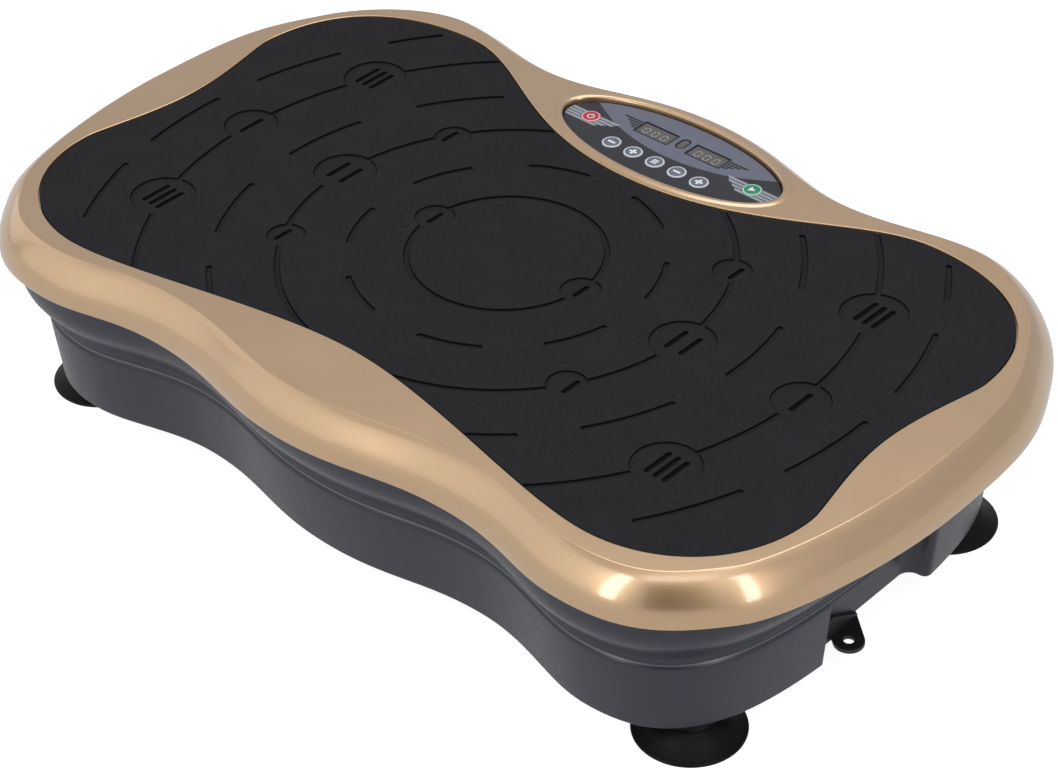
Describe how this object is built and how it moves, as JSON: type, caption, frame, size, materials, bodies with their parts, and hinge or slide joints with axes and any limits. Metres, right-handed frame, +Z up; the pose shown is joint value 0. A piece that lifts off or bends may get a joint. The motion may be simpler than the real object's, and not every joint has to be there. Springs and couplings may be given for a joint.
{
  "type": "vibration plate",
  "caption": "Low oscillating exercise platform: a waisted gold deck with a ribbed rubber mat and an oval key panel see-saws on a grey base with suction feet, driven by a belt and eccentric.",
  "frame": {"origin": "on the floor under the middle of the object, at the centre of the overall length and width", "axes": "+X along the length to the right seen from the front, +Y towards the control panel at the back, +Z up"},
  "size_m": [0.674, 0.41, 0.1498],
  "materials": {
    "gold_shell": "satin champagne-gold paint on moulded ABS",
    "mat_rubber": "matte, moulded with ring grooves",
    "grey_plastic": "satin moulded ABS, dark bluish grey",
    "black_plastic": "fine moulded texture",
    "foot_rubber": "smooth satin rubber",
    "panel_film": "printed satin film",
    "display_glass": "smoked window",
    "key_grey": "satin",
    "key_red": "satin",
    "key_green": "satin",
    "black_steel": "black powder coat",
    "steel": "zinc plated or ground",
    "cast_aluminium": "machined casting",
    "bronze": "sintered bush",
    "circuit_board": "solder mask"
  },
  "bodies": {
    "base": {"motor_housing": "black_steel", "band_bracket_left": "black_steel", "band_bracket_right": "black_steel", "chassis_plate": "steel", "shaft_bearing_front": "steel", "shaft_bearing_back": "steel", "motor_bracket": "steel", "foot_stud_front_left": "steel", "foot_stud_front_right": "steel", "foot_stud_back_left": "steel", "foot_stud_back_right": "steel", "power_plate": "black_plastic", "power_inlet": "black_plastic", "switch_frame": "black_plastic", "fuse_holder": "black_plastic", "control_board": "circuit_board", "base_housing": "grey_plastic", "suction_foot_front_left": "foot_rubber", "suction_foot_front_right": "foot_rubber", "suction_foot_back_left": "foot_rubber", "suction_foot_back_right": "foot_rubber", "stop_buffer_front_left": "foot_rubber", "stop_buffer_front_right": "foot_rubber", "stop_buffer_back_left": "foot_rubber", "stop_buffer_back_right": "foot_rubber", "drive_belt": "foot_rubber", "pivot_block_front": "cast_aluminium", "pivot_block_back": "cast_aluminium", "shaft_block_front": "cast_aluminium", "shaft_block_back": "cast_aluminium", "pivot_bush_front": "bronze", "pivot_bush_back": "bronze"},
    "deck": {"top_cover": "gold_shell", "standing_mat": "mat_rubber", "deck_frame": "black_steel", "pivot_shaft": "steel", "rod_pin": "steel", "panel_plate": "panel_film", "panel_tray": "black_plastic", "display_board": "circuit_board", "time_display": "display_glass", "speed_display": "display_glass", "receiver_lens": "display_glass"},
    "crank": {"crank_shaft": "steel", "eccentric_disc": "steel", "driven_pulley": "cast_aluminium"},
    "rod": {"connecting_rod": "steel", "rod_bearing": "steel"},
    "rotor": {"motor_rotor": "steel", "motor_pulley": "cast_aluminium"},
    "rocker": {"power_rocker": "black_plastic"},
    "key_time_minus": {"key_time_minus": "key_grey"},
    "key_time_plus": {"key_time_plus": "key_grey"},
    "key_program": {"key_program": "key_grey"},
    "key_speed_minus": {"key_speed_minus": "key_grey"},
    "key_speed_plus": {"key_speed_plus": "key_grey"},
    "key_power": {"key_power": "key_red"},
    "key_start": {"key_start": "key_green"}
  },
  "joints": [
    {"name": "deck_tilt", "type": "hinge", "parent": "base", "child": "deck", "pos_m": [0, -0.008, 0.118], "axis": [0, 1, 0], "range_deg": [-1.4, 1.4]},
    {"name": "crank_spin", "type": "hinge", "parent": "base", "child": "crank", "pos_m": [0.117, -0.008, 0.064], "axis": [0, 1, 0], "continuous": true},
    {"name": "rod_swing", "type": "hinge", "parent": "crank", "child": "rod", "pos_m": [0.12, -0.008, 0.064], "axis": [0, 1, 0], "continuous": true},
    {"name": "motor_spin", "type": "hinge", "parent": "base", "child": "rotor", "pos_m": [-0.075, -0.008, 0.064], "axis": [0, 1, 0], "continuous": true},
    {"name": "power_rocker", "type": "hinge", "parent": "base", "child": "rocker", "pos_m": [0.006, 0.1525, 0.047], "axis": [1, 0, 0], "range_deg": [0, 16]},
    {"name": "press_time_minus", "type": "slide", "parent": "deck", "child": "key_time_minus", "axis": [0, 0, -1], "range_m": [0, 0.0005], "stiffness_N_per_m": 1500},
    {"name": "press_time_plus", "type": "slide", "parent": "deck", "child": "key_time_plus", "axis": [0, 0, -1], "range_m": [0, 0.0005], "stiffness_N_per_m": 1500},
    {"name": "press_program", "type": "slide", "parent": "deck", "child": "key_program", "axis": [0, 0, -1], "range_m": [0, 0.0005], "stiffness_N_per_m": 1500},
    {"name": "press_speed_minus", "type": "slide", "parent": "deck", "child": "key_speed_minus", "axis": [0, 0, -1], "range_m": [0, 0.0005], "stiffness_N_per_m": 1500},
    {"name": "press_speed_plus", "type": "slide", "parent": "deck", "child": "key_speed_plus", "axis": [0, 0, -1], "range_m": [0, 0.0005], "stiffness_N_per_m": 1500},
    {"name": "press_power", "type": "slide", "parent": "deck", "child": "key_power", "axis": [0, 0, -1], "range_m": [0, 0.0005], "stiffness_N_per_m": 1500},
    {"name": "press_start", "type": "slide", "parent": "deck", "child": "key_start", "axis": [0, 0, -1], "range_m": [0, 0.0005], "stiffness_N_per_m": 1500}
  ],
  "couplings": [
    {"joint": "rod_swing", "follows": "crank_spin", "ratio": -1},
    {"joint": "motor_spin", "follows": "crank_spin", "ratio": 2.5}
  ]
}
